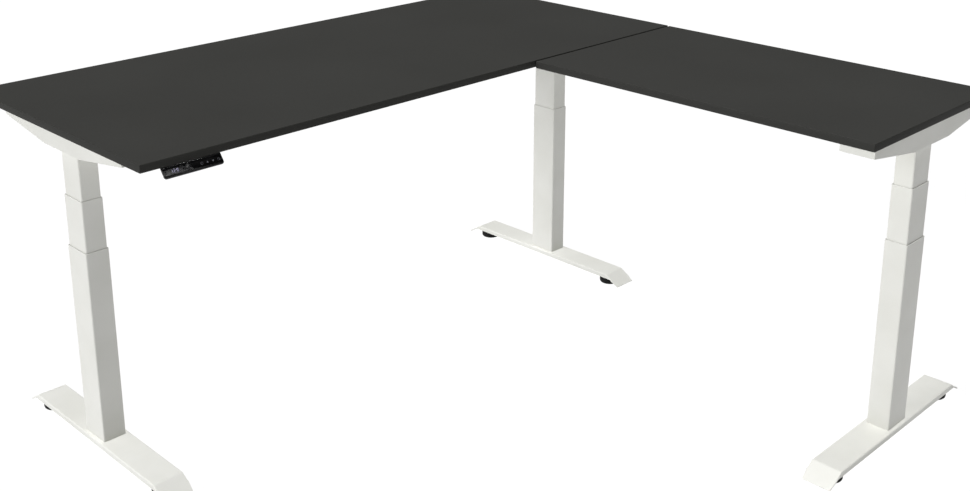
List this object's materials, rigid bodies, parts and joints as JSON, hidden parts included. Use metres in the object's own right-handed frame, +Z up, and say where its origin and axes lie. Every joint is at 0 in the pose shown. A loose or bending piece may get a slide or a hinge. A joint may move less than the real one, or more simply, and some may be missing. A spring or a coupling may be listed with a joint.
{
  "type": "height adjustable standing desk",
  "caption": "L-shaped electric standing desk: dark main and return tops on white three-stage columns with flat feet and a touch handset.",
  "frame": {"origin": "centre of the whole desk's footprint, on the floor", "axes": "+Z up, +X along the main top towards the return, +Y from the user's side to the back of the main top"},
  "size_m": [1.8344, 1.8072, 0.8635],
  "materials": {
    "desktop": "matt anthracite melamine facing on chipboard",
    "edge_band": "fine-grained plastic edging with small rounded arrises",
    "frame_paint": "fine matt off-white powder coat on steel",
    "guide_plastic": "moulded slide plastic",
    "glide_plastic": "black moulded foot pad",
    "spindle_steel": "machined steel",
    "fastener_steel": "zinc plated steel",
    "gearbox_cast": "die-cast housing",
    "motor_paint": "black painted motor can",
    "black_plastic": "textured black moulding",
    "handset_black": "gloss black moulding",
    "handset_panel": "gloss black touch panel"
  },
  "bodies": {
    "left_base": {"left_foot": "frame_paint", "left_foot_bolts": "fastener_steel", "left_outer_tube": "frame_paint", "left_outer_guides": "guide_plastic", "left_base_nut": "spindle_steel"},
    "left_middle_stage": {"left_middle_tube": "frame_paint", "left_middle_guides": "guide_plastic", "left_middle_nut": "spindle_steel"},
    "left_lower_screw": {"left_lower_spindle": "spindle_steel"},
    "left_upper_screw": {"left_upper_spindle": "spindle_steel"},
    "left_leveller_front": {"left_glide_front": "glide_plastic"},
    "left_leveller_rear": {"left_glide_rear": "glide_plastic"},
    "corner_base": {"corner_foot": "frame_paint", "corner_foot_bolts": "fastener_steel", "corner_outer_tube": "frame_paint", "corner_outer_guides": "guide_plastic", "corner_base_nut": "spindle_steel"},
    "corner_middle_stage": {"corner_middle_tube": "frame_paint", "corner_middle_guides": "guide_plastic", "corner_middle_nut": "spindle_steel"},
    "corner_lower_screw": {"corner_lower_spindle": "spindle_steel"},
    "corner_upper_screw": {"corner_upper_spindle": "spindle_steel"},
    "corner_leveller_front": {"corner_glide_front": "glide_plastic"},
    "corner_leveller_rear": {"corner_glide_rear": "glide_plastic"},
    "return_base": {"return_foot": "frame_paint", "return_foot_bolts": "fastener_steel", "return_outer_tube": "frame_paint", "return_outer_guides": "guide_plastic", "return_base_nut": "spindle_steel"},
    "return_middle_stage": {"return_middle_tube": "frame_paint", "return_middle_guides": "guide_plastic", "return_middle_nut": "spindle_steel"},
    "return_lower_screw": {"return_lower_spindle": "spindle_steel"},
    "return_upper_screw": {"return_upper_spindle": "spindle_steel"},
    "return_leveller_right": {"return_glide_right": "glide_plastic"},
    "return_leveller_left": {"return_glide_left": "glide_plastic"},
    "upper_frame": {"main_top": "desktop", "return_top": "desktop", "edge_bands": "edge_band", "main_rail_front": "frame_paint", "main_rail_rear": "frame_paint", "return_rail_left": "frame_paint", "return_rail_right": "frame_paint", "control_box": "black_plastic", "handset_case": "handset_black", "handset_panel": "handset_panel", "frame_screws": "fastener_steel", "inner_guides": "guide_plastic", "left_inner_tube": "frame_paint", "left_gearbox": "gearbox_cast", "left_motor": "motor_paint", "left_arm": "frame_paint", "corner_inner_tube": "frame_paint", "corner_gearbox": "gearbox_cast", "corner_motor": "motor_paint", "corner_arm": "frame_paint", "return_inner_tube": "frame_paint", "return_gearbox": "gearbox_cast", "return_motor": "motor_paint", "return_arm": "frame_paint"}
  },
  "joints": [
    {"name": "desk_lift", "type": "slide", "parent": "left_base", "child": "upper_frame", "axis": [0, 0, 1], "range_m": [-0.205, 0.445]},
    {"name": "left_middle_slide", "type": "slide", "parent": "left_base", "child": "left_middle_stage", "axis": [0, 0, 1], "range_m": [-0.103, 0.223]},
    {"name": "corner_middle_slide", "type": "slide", "parent": "upper_frame", "child": "corner_middle_stage", "axis": [0, 0, 1], "range_m": [-0.223, 0.103]},
    {"name": "corner_base_slide", "type": "slide", "parent": "upper_frame", "child": "corner_base", "axis": [0, 0, 1], "range_m": [-0.4455, 0.2055]},
    {"name": "return_middle_slide", "type": "slide", "parent": "upper_frame", "child": "return_middle_stage", "axis": [0, 0, 1], "range_m": [-0.223, 0.103]},
    {"name": "return_base_slide", "type": "slide", "parent": "upper_frame", "child": "return_base", "axis": [0, 0, 1], "range_m": [-0.4455, 0.2055]},
    {"name": "left_lower_screw_turn", "type": "hinge", "parent": "left_middle_stage", "child": "left_lower_screw", "pos_m": [-0.85025, 0.50365, 0.6], "axis": [0, 0, 1], "range_deg": [-3700, 8020]},
    {"name": "left_upper_screw_turn", "type": "hinge", "parent": "upper_frame", "child": "left_upper_screw", "pos_m": [-0.85025, 0.50365, 0.6], "axis": [0, 0, 1], "range_deg": [-3700, 8020]},
    {"name": "left_front_levelling", "type": "slide", "parent": "left_base", "child": "left_leveller_front", "axis": [0, 0, 1], "range_m": [-0.006, 0]},
    {"name": "left_rear_levelling", "type": "slide", "parent": "left_base", "child": "left_leveller_rear", "axis": [0, 0, 1], "range_m": [-0.006, 0]},
    {"name": "corner_lower_screw_turn", "type": "hinge", "parent": "corner_middle_stage", "child": "corner_lower_screw", "pos_m": [0.79595, 0.50365, 0.6], "axis": [0, 0, 1], "range_deg": [-3700, 8020]},
    {"name": "corner_upper_screw_turn", "type": "hinge", "parent": "upper_frame", "child": "corner_upper_screw", "pos_m": [0.79595, 0.50365, 0.6], "axis": [0, 0, 1], "range_deg": [-3700, 8020]},
    {"name": "corner_front_levelling", "type": "slide", "parent": "corner_base", "child": "corner_leveller_front", "axis": [0, 0, 1], "range_m": [-0.006, 0]},
    {"name": "corner_rear_levelling", "type": "slide", "parent": "corner_base", "child": "corner_leveller_rear", "axis": [0, 0, 1], "range_m": [-0.006, 0]},
    {"name": "return_lower_screw_turn", "type": "hinge", "parent": "return_middle_stage", "child": "return_lower_screw", "pos_m": [0.58025, -0.85245, 0.6], "axis": [0, 0, 1], "range_deg": [-3700, 8020]},
    {"name": "return_upper_screw_turn", "type": "hinge", "parent": "upper_frame", "child": "return_upper_screw", "pos_m": [0.58025, -0.85245, 0.6], "axis": [0, 0, 1], "range_deg": [-3700, 8020]},
    {"name": "return_right_levelling", "type": "slide", "parent": "return_base", "child": "return_leveller_right", "axis": [0, 0, 1], "range_m": [-0.006, 0]},
    {"name": "return_left_levelling", "type": "slide", "parent": "return_base", "child": "return_leveller_left", "axis": [0, 0, 1], "range_m": [-0.006, 0]}
  ],
  "couplings": [
    {"joint": "left_middle_slide", "follows": "desk_lift", "ratio": 0.5},
    {"joint": "corner_middle_slide", "follows": "desk_lift", "ratio": -0.5},
    {"joint": "corner_base_slide", "follows": "desk_lift", "ratio": -1},
    {"joint": "return_middle_slide", "follows": "desk_lift", "ratio": -0.5},
    {"joint": "return_base_slide", "follows": "desk_lift", "ratio": -1},
    {"joint": "left_lower_screw_turn", "follows": "desk_lift", "rad_per_m": 314.16},
    {"joint": "left_upper_screw_turn", "follows": "desk_lift", "rad_per_m": 314.16},
    {"joint": "corner_lower_screw_turn", "follows": "desk_lift", "rad_per_m": 314.16},
    {"joint": "corner_upper_screw_turn", "follows": "desk_lift", "rad_per_m": 314.16},
    {"joint": "return_lower_screw_turn", "follows": "desk_lift", "rad_per_m": 314.16},
    {"joint": "return_upper_screw_turn", "follows": "desk_lift", "rad_per_m": 314.16}
  ]
}
